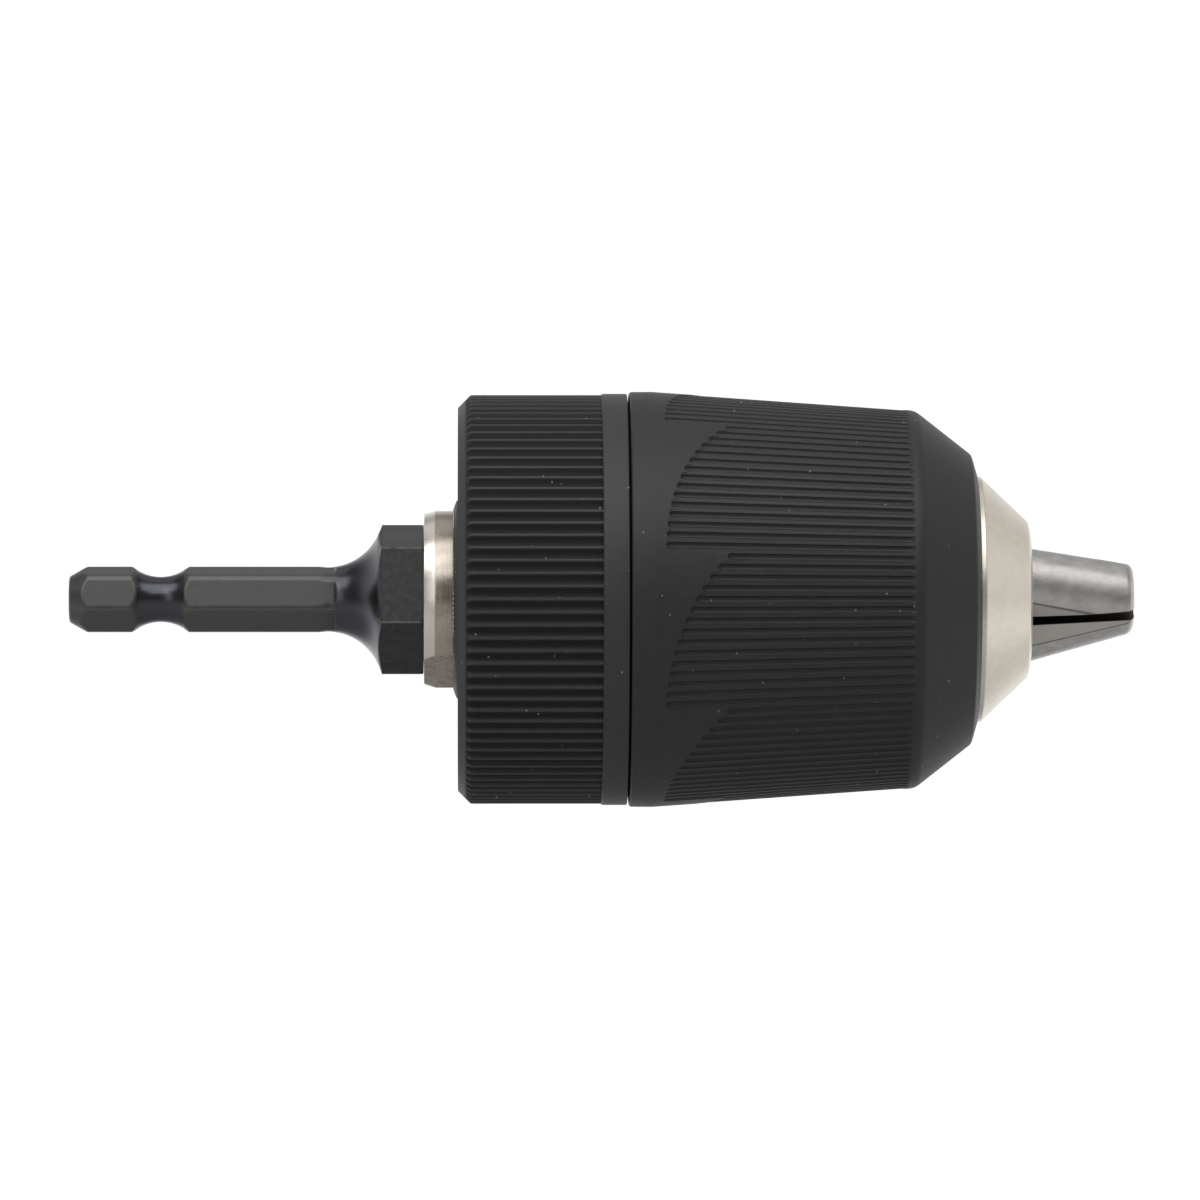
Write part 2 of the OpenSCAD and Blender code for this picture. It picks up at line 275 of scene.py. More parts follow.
# %% Finishes
class Finish(Tree):
    """One material: a node tree with its Principled shader. Its slot is kept on the finish but is not used."""

    def __init__(self, name, slot, **settings):
        self.slot = slot
        self.material = bpy.data.materials.new(name)
        super().__init__(self.material)
        self.shader = next(n for n in self.nodes if n.type == "BSDF_PRINCIPLED")
        for socket, value in settings.items():
            self.shader.inputs[socket.replace("_", " ")].default_value = value

    def feed(self, **wires):
        """Links wires to the shader's own sockets."""
        for socket, wire in wires.items():
            self.plug(self.shader.inputs[socket.replace("_", " ")], wire)

    def place(self, scale=(1, 1, 1)):
        """Object coordinates in millimetres, stretched by a scale."""
        spot = self.node("ShaderNodeTexCoord", output="Object")
        return self.node("ShaderNodeMapping", {},
                         {"Vector": spot, "Scale": tuple(axis / MM for axis in scale)})

    def along(self):
        """Two wires: the station and the radius."""
        x, y, z = self.axes(self.place())
        return x, (y * y + z * z) ** 0.5

    def turns(self):
        """The angle round the axis as a share of a whole turn."""
        y, z = self.axes(self.place())[1:]
        return z.maths("ARCTAN2", y) * (1 / math.tau)

    def wrapped(self, station_scale, circle):
        """A vector that repeats round the axis without a seam: the station, and a circle of a given size."""
        x, y, z = self.axes(self.place())
        inverse = circle * (y * y + z * z) ** -0.5
        return self.node("ShaderNodeCombineXYZ", {},
                         {"X": x * station_scale, "Y": y * inverse, "Z": z * inverse})

    def noise(self, vector, scale, detail=2.0, roughness=0.5):
        """Cloudy noise from 0 to 1."""
        return self.node("ShaderNodeTexNoise", {},
                         {"Vector": vector, "Scale": scale, "Detail": detail, "Roughness": roughness})

    def blend(self, mask, low, high):
        """A colour that goes from low to high with a mask."""
        return self.node("ShaderNodeMix", {"data_type": "RGBA"},
                         {"Factor": mask, 6: (*low, 1) if isinstance(low, tuple) else low,
                          7: (*high, 1) if isinstance(high, tuple) else high}, output=2)

    def bump(self, height, distance, strength=1.0):
        """A Bump node on the shader's normal, for a height from 0 to 1 and a distance in millimetres."""
        self.feed(Normal=self.node("ShaderNodeBump", {},
                                   {"Height": height, "Distance": distance * MM, "Strength": strength}))


# %% [markdown]
# ### Black moulded plastic
#
# Both sleeves are moulded in a glass-filled nylon. Its skin is matte with a fine spark-eroded grain, and a few
# specks of dust sit on it. On the rear sleeve's flutes the crests are lighter, partly rubbed by handling and
# partly a painted highlight, and the valleys are painted darker as shade.

# %% Black plastic
NYLON_DARK = (0.0125, 0.0118, 0.012)
NYLON_LIGHT = (0.0175, 0.0168, 0.0168)
# lighter nylon for the flute crests: partly rubbed by handling, partly a painted highlight
RUBBED_AND_HIGHLIT_NYLON = (0.06, 0.058, 0.057)
DUST = (0.3, 0.29, 0.27)
BLACK = (0, 0, 0)


def black_plastic(name, valley_shade_r=None, crest_rubbed_lit_r=None, valleys_at=0):
    """Matte black nylon.

    In front of the station valleys_at it goes, between two radii, from a valley painted darker as shade to a
    crest painted lighter, partly rubbing and partly a painted highlight.
    """
    finish = Finish(name, "black_plastic", Specular_IOR_Level=0.55)
    grain = finish.noise(finish.place(), 9.0, 3.0, 0.6)
    mottle = finish.noise(finish.place(), 0.9, 3.0, 0.55)
    cells = finish.node("ShaderNodeTexVoronoi", {"feature": "F1"},
                        {"Vector": finish.place((1.2, 1, 1)), "Scale": 0.5})
    dust = (1 - cells.above(0.03, 0.07)) * mottle.above(0.42, 0.5)
    base = finish.blend(mottle.above(0.3, 0.7), NYLON_DARK, NYLON_LIGHT)
    rough = 0.49 + 0.12 * mottle
    if valley_shade_r:
        station, radius = finish.along()
        # painted shade: flute valleys are blended toward black; the crests are lighter, partly rubbed and
        # partly a painted highlight
        fluted = station.above(valleys_at - 0.2, valleys_at + 0.2)
        rubbed_lit_crest = 1 - (1 - radius.above(valley_shade_r, crest_rubbed_lit_r)) * fluted
        base = finish.blend(rubbed_lit_crest, finish.blend(0.45, base, BLACK), finish.blend(0.3, base, RUBBED_AND_HIGHLIT_NYLON))
        rough = rough + 0.3 * (1 - rubbed_lit_crest)
    finish.feed(Base_Color=finish.blend(dust, base, DUST), Roughness=rough)
    finish.bump(grain, 0.03, 0.6)
    return finish


plastic = black_plastic("black_plastic_skin")
# the flutes carry painted shade in their valleys and a painted highlight on their crests
fluted_plastic = black_plastic("black_plastic_flutes", REAR_R - 0.6, REAR_R - 0.14, REAR_AT + 0.95)

# %% [markdown]
# ### Plated and oxidised steel
#
# The turned metal parts share one recipe. A metal's colour is all in its reflection, so what tells one steel
# from another is the tint, the roughness and the tool marks. Fine rings run round the axis where a lathe cut
# them.
#
# Two finishes follow the shape of their piece, so the sizes that they share with it come first: the chamfer
# at the body's rear end, and the gaps and ground facets of the three jaws.

# %% Sizes that a finish shares with its piece
TAIL_R = 9.36
TAIL_CHAMFER_R = 9.04
TAIL_CHAMFER_END = BODY_AT + 1.14
JAW_ROLL = 32.0
GAP_ROLL = JAW_ROLL - 60
FLANK_GAP = 0.53
FACET_ROLL = 73.0
# each side of a jaw: its facet's distance from the axis at the ring's front, and the facet's slope
FACETS = {-1: (4.68, 0.073), 1: (4.55, 0.108)}


# %% Turned metal
def turned_metal(name, slot, dark, light, roughness, rings=0.004, ring_scale=7.0, grime=0.12, shaded=None):
    """A metal with fine rings round the axis and a faint mottle in its tint and polish.

    shaded takes the finish and the tint, and returns the tint with more done to it.
    """
    finish = Finish(name, slot, Metallic=1.0)
    lathe = finish.noise(finish.wrapped(ring_scale, 0.6), 1.0, 3.0, 0.65)
    mottle = finish.noise(finish.place((0.6, 1, 1)), 1.1, 4.0, 0.6)
    tint = finish.blend(mottle.above(0.25, 0.75), dark, light)
    if shaded:
        tint = shaded(finish, tint)
    finish.feed(Base_Color=tint, Roughness=roughness + grime * (mottle - 0.5) + 0.12 * (lathe - 0.5))
    finish.bump(lathe, rings)
    return finish


# %% Extra shading of the body's tail
MILL_MARK = (0.2, 0.175, 0.15)
FRESH_CUT = (0.76, 0.72, 0.65)


def bright_chamfer(finish, tint):
    """The chamfer at the body's rear end is freshly cut, and its spanner flats have slanting mill marks."""
    x, y, z = finish.axes(finish.place())
    station, radius = finish.along()
    across = y * 0.88 - z * 0.47
    slant = finish.node("ShaderNodeCombineXYZ", {}, {"X": x * 1.6 - across * 2.2, "Y": (x + across) * 0.3})
    chamfer = 1 - station.above(TAIL_CHAMFER_END - 0.06, TAIL_CHAMFER_END + 0.06)
    turned_r = (station - BODY_AT) * (0.27 * chamfer) + (TAIL_R - (TAIL_R - TAIL_CHAMFER_R) * chamfer)
    flat = 1 - (radius - turned_r).above(-0.06, -0.02)
    marks = finish.noise(slant, 1.3, 3.0, 0.6).above(0.5, 0.62) * flat
    tint = finish.blend(marks * 0.55, tint, MILL_MARK)
    return finish.blend(chamfer * (1 - flat), tint, FRESH_CUT)


# %% Extra shading of the jaws
# painted shade for the flanks inside the gaps between the jaws
JAW_GAP_SHADE = (0.12, 0.11, 0.1)
# painted shade for a thin line along each ground facet's edge
FACET_EDGE_SHADE = (0.2, 0.19, 0.175)
FACET_BROWN = (0.47, 0.44, 0.405)


def dark_flanks(finish, tint):
    """The flat flanks in the gaps between the jaws are painted dark as shade, a thin line of painted shade runs
    along each ground facet's edge, and the facet beside each flank is browner.

    The three gaps are alike, so the angle is folded into one third of a turn about a gap. aside is the angle
    away from the gap, distance is how far off its middle plane is, and height is how far off the facet is.
    """
    station, radius = finish.along()
    third = (finish.turns() * 3 + (3 * GAP_ROLL / 360 + 2)).maths("FRACT")
    aside = ((third - 0.5) * (math.tau / 3)).maths("ABSOLUTE")
    distance = radius * aside.maths("SINE")
    reach = (aside + math.radians(FACET_ROLL - 60)).maths("COSINE")
    lower = third.above(0.499, 0.501)
    (small_r, small_tilt), (wide_r, wide_tilt) = (FACETS[side] for side in (-1, 1))
    height = radius * reach + (station - NOSE_AT) * (small_tilt + (wide_tilt - small_tilt) * lower)
    height = height + (small_r - wide_r) * lower - small_r
    brown = finish.blend(0.65, tint, FACET_BROWN)
    # a thin line of painted shade along the facet's edge
    tint = finish.blend(height.above(-0.12, -0.06), tint, FACET_EDGE_SHADE)
    tint = finish.blend(height.above(-0.035, -0.015), tint, brown)
    # painted shade on the flanks inside the gaps between the jaws
    return finish.blend(distance.above(FLANK_GAP + 0.01, FLANK_GAP + 0.07), JAW_GAP_SHADE, tint)


# %% The metals
nickel = turned_metal("machined_nickel", "nickel_steel", (0.38, 0.335, 0.285), (0.48, 0.427, 0.365), 0.26,
                      rings=0.006, shaded=bright_chamfer)
satin_nickel = turned_metal("satin_nickel_ring", "satin_nickel", (0.74, 0.688, 0.598),
                            (0.81, 0.754, 0.66), 0.38, rings=0.003, ring_scale=9.0, grime=0.06)
ground = turned_metal("ground_jaw_steel", "jaw_steel", (0.46, 0.443, 0.43), (0.6, 0.581, 0.564), 0.42,
                      rings=0.003, ring_scale=4.0, grime=0.2, shaded=dark_flanks)
nut_steel = turned_metal("nut_steel", "jaw_steel", (0.4, 0.4, 0.4), (0.5, 0.5, 0.5), 0.35)
zinc = turned_metal("zinc_plate", "zinc_steel", (0.5, 0.52, 0.54), (0.62, 0.64, 0.66), 0.35)
polished = turned_metal("polished_bearing_steel", "bearing_steel", (0.62, 0.63, 0.65),
                        (0.7, 0.71, 0.73), 0.14)
brass = turned_metal("cage_brass_sheet", "cage_brass", (0.6, 0.42, 0.15), (0.72, 0.52, 0.2), 0.3)

# %% [markdown]
# ### Black oxide
#
# The adapter is blackened tool steel. Where it was turned after drawing, in the detent groove and the flare,
# it is smoother and a little blue. Its hexagon edges are rubbed, so they show as thin lighter lines.

# %% Black oxide
HEX_ROLL = 12.5
OXIDE_DARK = (0.055, 0.054, 0.054)
OXIDE_LIGHT = (0.078, 0.0765, 0.076)
OXIDE_WORN = (0.145, 0.143, 0.142)
OXIDE_TURNED = (0.075, 0.0765, 0.087)
OXIDE_RUBBED = (0.15, 0.147, 0.143)


def black_oxide():
    """Blackened steel: turned where the lathe was last, and rubbed along the hexagon's edges."""
    finish = Finish("black_oxide_steel", "black_oxide", Metallic=1.0)
    station, radius = finish.along()
    mottle = finish.noise(finish.place(), 1.6, 4.0, 0.6)
    sixth = (finish.turns() * 6 + (6 * HEX_ROLL / 360 + 12.5)).maths("FRACT")
    corner = (sixth - 0.5).maths("ABSOLUTE")
    detent = station.above(6.9, 7.4) * (1 - station.above(12.0, 12.4))
    flare = station.above(27.9, 28.6) * (1 - radius.above(6.4, 7.2))
    turned = detent + flare
    rubbed = corner.above(0.478, 0.494) * mottle.above(0.2, 0.5) * station.above(1.7, 2.3) * (1 - turned)
    tint = finish.blend(mottle.above(0.25, 0.75), OXIDE_DARK, OXIDE_LIGHT)
    tint = finish.blend(0.6 - 0.6 * station.above(26.0, 30.0), tint, OXIDE_WORN)
    tint = finish.blend(turned, tint, OXIDE_TURNED)
    finish.feed(Base_Color=finish.blend(rubbed, tint, OXIDE_RUBBED),
                Roughness=0.42 + 0.12 * (mottle - 0.5) - 0.17 * turned)
    finish.bump(finish.noise(finish.place(), 7.0, 3.0, 0.6), 0.006)
    return finish


oxide = black_oxide()

# %% [markdown]
# ## The front sleeve
#
# This is the part the hand turns. Its smooth surface swells at the rear edge and tapers to the nose, and
# eight fin-shaped fields of round-bottomed grooves give the grip. Cutting 120 grooves with Booleans would be
# slow and leave ragged faces. Instead the outline is spun with twelve steps to each groove, and the rings of
# the grip are then moved: every vertex knows its ring and its place across a groove, so it can be pushed to
# an exact spot on the groove's wall. The rings bend to follow the fins, so each groove starts with a clean
# round end.

# %% Sizes of the front sleeve's grip
FINS = 8
GROOVES = 15
FIRST_FIN = 13.5
FIN_STEP = 360 / FINS
GROOVE_STEP = FIN_STEP / GROOVES
FIN_BASE_AT = FRONT_AT + 3.55
FIN_CURVE = 25.0
GRIP_END = FRONT_AT + 29.5
SWELL_AT = FRONT_AT + 2.4
TAPER = 0.0705
GROOVE_R = 0.36
GROOVE_DEPTH = 0.28
RUN_OUT = 0.7
LAND_DROP = 0.06
GROOVE_HALF = math.sqrt(GROOVE_R**2 - (GROOVE_R - GROOVE_DEPTH) ** 2)
# shares of a groove's half width, close together where its wall is steep
ACROSS = (0.0, 0.4, 0.74, 0.94, 1.0)
CUT_STEPS = 12


def smooth_radius(station):
    """Radius of the front sleeve's smooth surface along its taper."""
    return FRONT_R - TAPER * max(0, station - SWELL_AT)


def groove_start(groove):
    """Station where a groove starts, counted from the lowest groove of its field."""
    rise = math.radians((groove + 0.5) * GROOVE_STEP) * FRONT_R
    return FIN_BASE_AT + FIN_CURVE - math.sqrt(FIN_CURVE**2 - rise**2)


# %% Rings of the grip
# shares of the round end, and of the plain run between the two ends
END_RUN = (0.0, 0.06, 0.18, 0.36, 0.64, 1.0)
RUN = (0.05, 0.15, 0.27, 0.39, 0.51, 0.63, 0.75, 0.87, 0.96)
BEHIND_GRIP = 0.35
AHEAD_OF_GRIP = 0.15


def ring_station(ring, start):
    """Station of a ring beside a groove that starts at a station, and its place in the groove.

    The place is -1 outside. It goes from 0 to 1 over the round rear end, and from 1 to 2 over the run-out.
    """
    before, after = len(END_RUN), len(END_RUN) + len(RUN)
    if ring == 0:
        return start - BEHIND_GRIP, -1.0
    if ring <= before:
        return start + END_RUN[ring - 1] * GROOVE_HALF, END_RUN[ring - 1]
    if ring <= after:
        low, high = start + GROOVE_HALF, GRIP_END - RUN_OUT
        return low + (high - low) * RUN[ring - before - 1], 1.0
    if ring <= after + before:
        share = END_RUN[::-1][ring - after - 1]
        return GRIP_END - share * RUN_OUT, 2 - share
    return GRIP_END + AHEAD_OF_GRIP, -1.0


GRIP_RINGS = 2 + 2 * len(END_RUN) + len(RUN)


# %% A vertex of the grip
SHALLOWEST = 0.06
RUN_OUT_STEEPNESS = 1.6


def groove_point(vertex, ring):
    """Where a vertex of the grip belongs: its roll angle is turned into a groove and a place across it."""
    step = (roll_of(vertex.co) - FIRST_FIN) / GROOVE_STEP * CUT_STEPS
    step = round(step) % (CUT_STEPS * FINS * GROOVES)
    cell, across = divmod(step, CUT_STEPS)
    groove = cell % GROOVES
    station, into = ring_station(ring, groove_start(groove))
    surface = smooth_radius(station)
    middle = FIRST_FIN + (cell + 0.5) * GROOVE_STEP
    side = across - CUT_STEPS // 2
    land = abs(side) - (len(ACROSS) - 1)
    half_cell = math.radians(GROOVE_STEP / 2) * surface
    reach = math.sqrt(1 - max(0, 1 - max(SHALLOWEST, into)) ** 2) * GROOVE_HALF
    if land <= 0:
        offset = ACROSS[abs(side)] * reach
        back = max(0, 1 - into) * GROOVE_HALF
        depth = math.sqrt(max(0, GROOVE_R**2 - offset**2 - back**2)) - (GROOVE_R - GROOVE_DEPTH)
        depth = max(0, depth) * min(1, (2 - into) * RUN_OUT_STEEPNESS) if into > 0 else 0
    else:
        offset = reach + (half_cell - reach) * land / (CUT_STEPS // 2 - len(ACROSS) + 1)
        depth = 0
    depth += LAND_DROP * max(0, min(1, into, 2 - into))
    return placed(station, surface - depth, middle + math.degrees(math.copysign(offset, side) / surface))


# %% Build the front sleeve
def front_sleeve():
    """The turned skin, with the hollow inside it: a lip and a guide on the body, and a wall round the nut."""
    lip_r, guide_r, web_r, cored_r, wall_r = RING_R + 0.3, 13.7, 15.7, 17.4, 19.3
    cone_r, cone_at = 15.35, FRONT_END - 0.6
    lip_at, guide_end, cored_end, web_at = FRONT_END - 2.4, FRONT_END - 5.8, FRONT_END - 8.5, FRONT_AT + 20.3
    back_at, ahead_at, corner_at = FIN_BASE_AT - 0.4, GRIP_END + 0.16, GRIP_END + 0.75
    back = [(FRONT_AT, wall_r + 0.3, 0), (FRONT_AT, FRONT_R - 0.02, 0.3), (SWELL_AT, FRONT_R, 2.5),
            (back_at, smooth_radius(back_at), 0)]
    front = [(ahead_at, smooth_radius(ahead_at), 0), (corner_at, smooth_radius(corner_at), 1.9),
             (cone_at, cone_r, 0.7), (FRONT_END, lip_r + 0.05, 0.12), (FRONT_END - 0.45, lip_r, 0),
             (lip_at, lip_r, 0), (lip_at, guide_r - 1.4, 0), (guide_end, guide_r - 1.4, 0),
             (guide_end, guide_r, 0), (web_at, guide_r, 0), (web_at, web_r, 0), (cored_end, web_r + 0.4, 0),
             (cored_end, cored_r, 0), (web_at, cored_r + 0.9, 0), (web_at, wall_r, 0),
             (FRONT_AT + 2.9, wall_r, 0), (FRONT_AT + 2.4, wall_r + 0.3, 0)]
    behind = rounded(back, closed=False)
    ahead = rounded(front, closed=False)
    grip = [Vector((station, smooth_radius(station)))
            for station in (ring_station(ring, FIN_BASE_AT)[0] for ring in range(GRIP_RINGS))]
    rows = [0] * len(behind) + [ring + 1 for ring in range(GRIP_RINGS)] + [0] * len(ahead)
    bm = spun(behind + grip + ahead, FINS * GROOVES * CUT_STEPS, FIRST_FIN, rows)
    row = bm.verts.layers.int["row"]
    for vertex in bm.verts:
        if vertex[row]:
            vertex.co = groove_point(vertex, vertex[row] - 1)
    return become_piece("front_sleeve_moulding", bm, "sleeve", "front_sleeve", plastic)


front_sleeve()

# %% [markdown]
# ## The rear sleeve
#
# The rear sleeve is pressed on the body and is held still while the front one turns. A hundred scalloped
# flutes run from its chamfer to a plain band. The same method serves: spin with steps for each flute, then
# sink the vertices of the fluted rings. A flute's floor stays level, so where the chamfer falls below it the
# flute runs out.

# %% Sizes of the rear sleeve's flutes
FLUTES = 100
FLUTE_STEPS = 14
FLUTE_R = 0.53
FLUTE_DEPTH = 0.48
CREST_R = REAR_R - 0.13
FLUTE_END = REAR_AT + 15.25
CHAMFER_END = REAR_AT + 1.42
CHAMFER_ROWS = 14
# shares of the way from a flute's middle to its crest
FLUTE_ACROSS = (0.0, 0.3, 0.52, 0.66, 0.75, 0.82, 0.9, 1.0)
CREST_ROUND = 0.035


def flute_floor(across):
    """Radius of a flute's surface at a share of the way from its middle to its crest."""
    half = math.pi * CREST_R / FLUTES
    offset = across * half
    scoop = math.sqrt(max(0, FLUTE_R**2 - offset**2)) - (FLUTE_R - FLUTE_DEPTH)
    crest_round = CREST_ROUND * max(0, (1 - across) / 0.25)
    return CREST_R - max(scoop, min(CREST_ROUND, crest_round))


def flute_point(vertex):
    """Moves a vertex of the fluted band onto its flute, unless it is already lower than the floor."""
    step = round(roll_of(vertex.co) / (360 / FLUTES) * FLUTE_STEPS) % (FLUTES * FLUTE_STEPS)
    flute, across = divmod(step, FLUTE_STEPS)
    side = across - FLUTE_STEPS // 2
    share = FLUTE_ACROSS[abs(side)]
    roll = (flute + 0.5 + math.copysign(share, side) / 2) * 360 / FLUTES
    return placed(vertex.co.x, min(radius_of(vertex.co), flute_floor(share)), roll)


# %% Build the rear sleeve
def rear_sleeve():
    """A cup on the body: hub, dished floor, rim, fluted wall, plain band and a lip in the front sleeve."""
    hub_r, dish_r, rim_r, lip_r, cavity_r = 9.6, 19.0, 20.26, 19.0, 19.75
    hub_at, dish_at, rim_at = REAR_AT - 0.32, REAR_AT + 0.25, REAR_AT + 0.12
    floor_at, hub_end, lip_end = REAR_AT + 2.65, REAR_AT + 5.05, REAR_END + 1.6
    outside = [(hub_at, hub_r, 0), (hub_at, hub_r + 0.1, 0.05), (REAR_AT - 0.05, hub_r + 0.8, 0.3),
               (dish_at, hub_r + 1.0, 0), (dish_at, dish_r, 0.2), (rim_at, dish_r + 0.3, 0.1),
               (rim_at, rim_r, 0.15)]
    low, high = Vector((REAR_AT + 0.3, rim_r + 0.18)), Vector((CHAMFER_END, CREST_R - 0.05))
    fluted = [low.lerp(high, k / CHAMFER_ROWS) for k in range(CHAMFER_ROWS + 1)]
    fluted += points((CHAMFER_END + 0.1, CREST_R - 0.02), (CHAMFER_END + 0.3, CREST_R),
                     (FLUTE_END - 0.9, CREST_R), (FLUTE_END - 0.03, CREST_R))
    band = [(FLUTE_END, REAR_R - 0.1, 0), (FLUTE_END + 0.08, REAR_R - 0.02, 0),
            (FLUTE_END + 0.2, REAR_R, 0), (REAR_END, REAR_R, 0.15), (REAR_END, lip_r + 0.5, 0),
            (lip_end, lip_r + 0.45, 0), (lip_end, lip_r, 0), (REAR_END - 1.4, lip_r, 0),
            (REAR_END - 1.8, cavity_r, 0), (REAR_AT + 3.5, cavity_r, 0.4), (floor_at, cavity_r - 0.6, 0),
            (floor_at, hub_r + 3, 0), (hub_end, hub_r + 2.6, 0), (hub_end, hub_r, 0)]
    behind, ahead = rounded(outside, closed=False), rounded(band, closed=False)
    rows = [0] * len(behind) + [1] * len(fluted) + [0] * len(ahead)
    bm = spun(behind + fluted + ahead, FLUTES * FLUTE_STEPS, 0, rows)
    row = bm.verts.layers.int["row"]
    for vertex in bm.verts:
        if vertex[row]:
            vertex.co = flute_point(vertex)
    return become_piece("rear_sleeve_moulding", bm, "chuck", "rear_sleeve", fluted_plastic)


rear_sleeve()

# %% [markdown]
# ## The nose ring
#
# A tapered steel ring is pressed on the body's nose and keeps the front sleeve on. Its rim is polished, its
# taper is satin with the lathe's rings, and its mouth clears the three jaws.

# %% Build the nose ring
def nose_ring():
    """A cylinder, a taper and a narrow front face, with a tapered seat on the body behind it."""
    seat_r, mouth_r, seat_end = 11.4, 6.78, BODY_END + 0.05
    outline = [(RING_AT, seat_r, 0.1), (RING_AT, RING_R, 0.3), (NOSE_AT - 5.15, RING_R, 0.22),
               (NOSE_AT - 0.25, 8.3, 0.5), (NOSE_AT, 7.6, 0.1), (NOSE_AT, mouth_r, 0.08),
               (seat_end, 7.25, 0.05), (seat_end, 8.0, 0), (NOSE_AT - 5.2, seat_r, 0)]
    bm = spun(rounded(outline, 6), 240)
    return become_piece("nose_ring_turned", bm, "chuck", "nose_ring", satin_nickel)


nose_ring()

# %% [markdown]
# ## The hex adapter
#
# The adapter starts as round bar. The lathe turns the detent groove, the flare and the stud, and milling
# makes the two hexagons. Here the turned outline is spun first, and each vertex is then drawn in to the
# nearer of the turned surface and the hexagon's flat. A smooth minimum, in place of a plain one, breaks every
# edge by a hair.

# %% Helpers for the milled flats
SHANK_FLATS = 6.35
FLANGE_FLATS = 14.0
FLAT_END = 28.0
CUTTER_R = 0.8
CLIMB = 1.4


def smooth_min(a, b, soft):
    """The smaller of two lengths, blended over a soft distance where they cross."""
    gap = max(soft - abs(a - b), 0) / soft
    return min(a, b) - gap * gap * soft / 4


def hexed(vertex, flats, roll, soft, end=None):
    """Draws a vertex in to a hexagon with a flat at a roll angle.

    Past its end, a flat climbs out of the bar in the curve that the cutter leaves.
    """
    angle = math.radians((roll_of(vertex.co) - roll + 30) % 60 - 30)
    flat = flats / 2 / math.cos(angle)
    if end:
        beside = max(0, abs(math.tan(angle)) * flats / 2 - flats / 2 * math.tan(math.pi / 6) + CUTTER_R)
        run_out = end - CUTTER_R + math.sqrt(max(0, CUTTER_R**2 - beside**2))
        flat += max(0, vertex.co.x - run_out) * CLIMB
    return placed(vertex.co.x, smooth_min(radius_of(vertex.co), flat, soft), roll_of(vertex.co))


# %% The shank's outline
CORNER_R = 3.51
DETENT_AT = 9.65
DETENT_ROOT = 2.39
DETENT_R = 4.6
DETENT_STEPS = 32
CHAMFER_STEPS = 12
NECK_FROM = 26.3


def shank_line():
    """The shank from its end face to the flare: chamfer, corner, detent groove, corner and a slight neck."""
    reach = math.sqrt(DETENT_R**2 - (DETENT_ROOT + DETENT_R - CORNER_R) ** 2)
    line = points((0, 0.3), (0, 1.2), (0, 2.2), (0.04, 2.34), (0.12, 2.46))
    line += [Vector((0.12 + 1.83 * share, 2.46 + 1.05 * share))
             for share in ((k + 1) / CHAMFER_STEPS for k in range(CHAMFER_STEPS))]
    line += points((2.2, CORNER_R), (4.4, CORNER_R), (DETENT_AT - reach - 0.15, CORNER_R))
    for k in range(DETENT_STEPS + 1):
        away = reach * (2 * k / DETENT_STEPS - 1)
        line.append(Vector((DETENT_AT + away, DETENT_ROOT + DETENT_R - math.sqrt(DETENT_R**2 - away**2))))
    line += points((DETENT_AT + reach + 0.15, CORNER_R))
    line += [Vector((13.5 + k * 1.7, CORNER_R)) for k in range(8)] + points((NECK_FROM, CORNER_R))
    return line + [Vector((NECK_FROM + 0.05 + 0.1 * k, CORNER_R - 0.11 * k / 9)) for k in range(9)]


# %% The flare's outline
NECK_R = 3.4
FLARE_R = 6.0
FLARE_AT = 27.2
FLARE_STEPS = 72
FLANGE_R = 8.2
FLANGE_END = BODY_AT - 0.06


def flare_line():
    """The hollow flare between the shank and the flange, as a quarter of a circle cut off at the flange."""
    runs = [FLARE_R * math.sin(math.pi / 2 * k / FLARE_STEPS) for k in range(FLARE_STEPS)]
    line = [Vector((FLARE_AT + run, NECK_R + FLARE_R - math.sqrt(FLARE_R**2 - run**2))) for run in runs]
    return [point for point in line if point.y < FLANGE_R - 0.03]


# %% Build the hex adapter
TURNED, SHANK_HEX, FLANGE_HEX = range(3)
STUD_R = 6.3
SOCKET_R = 3.0


def hex_adapter():
    """Spins the whole outline, then mills the shank's hexagon and the flange's."""
    shank, flare = shank_line(), flare_line()
    flange = points((FLARE_AT + 5.82, FLANGE_R), (FLARE_AT + 6.6, FLANGE_R), (FLANGE_END - 0.5, FLANGE_R),
                    (FLANGE_END - 0.18, FLANGE_R - 0.03), (FLANGE_END - 0.05, FLANGE_R - 0.12),
                    (FLANGE_END, FLANGE_R - 0.3))
    stud = points((FLANGE_END, 6.6), (FLANGE_END, STUD_R - 0.7), (FLANGE_END + 1.2, STUD_R - 0.7),
                  (FLANGE_END + 2, STUD_R), (STUD_END - 0.8, STUD_R), (STUD_END, STUD_R - 0.8),
                  (STUD_END, SOCKET_R), (STUD_END - 10, SOCKET_R), (STUD_END - 11, 0.3))
    rows = [SHANK_HEX] * len(shank) + [SHANK_HEX if point.x < FLAT_END + 1 else FLANGE_HEX for point in flare]
    rows += [FLANGE_HEX] * len(flange) + [TURNED] * len(stud)
    bm = spun(shank + flare + flange + stud, 288, HEX_ROLL, rows)
    row = bm.verts.layers.int["row"]
    for vertex in bm.verts:
        if vertex[row] == SHANK_HEX:
            vertex.co = hexed(vertex, SHANK_FLATS, HEX_ROLL, 0.06, FLAT_END)
        if vertex[row] == FLANGE_HEX:
            vertex.co = hexed(vertex, FLANGE_FLATS, HEX_ROLL, 0.1)
    return become_piece("hex_adapter_steel", bm, "chuck", "hex_adapter", oxide, sharp=50)


hex_adapter()

# %% [markdown]
# ## The chuck body
#
# Only the tail of the body shows from outside, and a little of its nose inside the ring. Three tilted bores
# carry the jaws and run out through its sides, so this part does need a Boolean: three cylinders are cut away
# in turn.

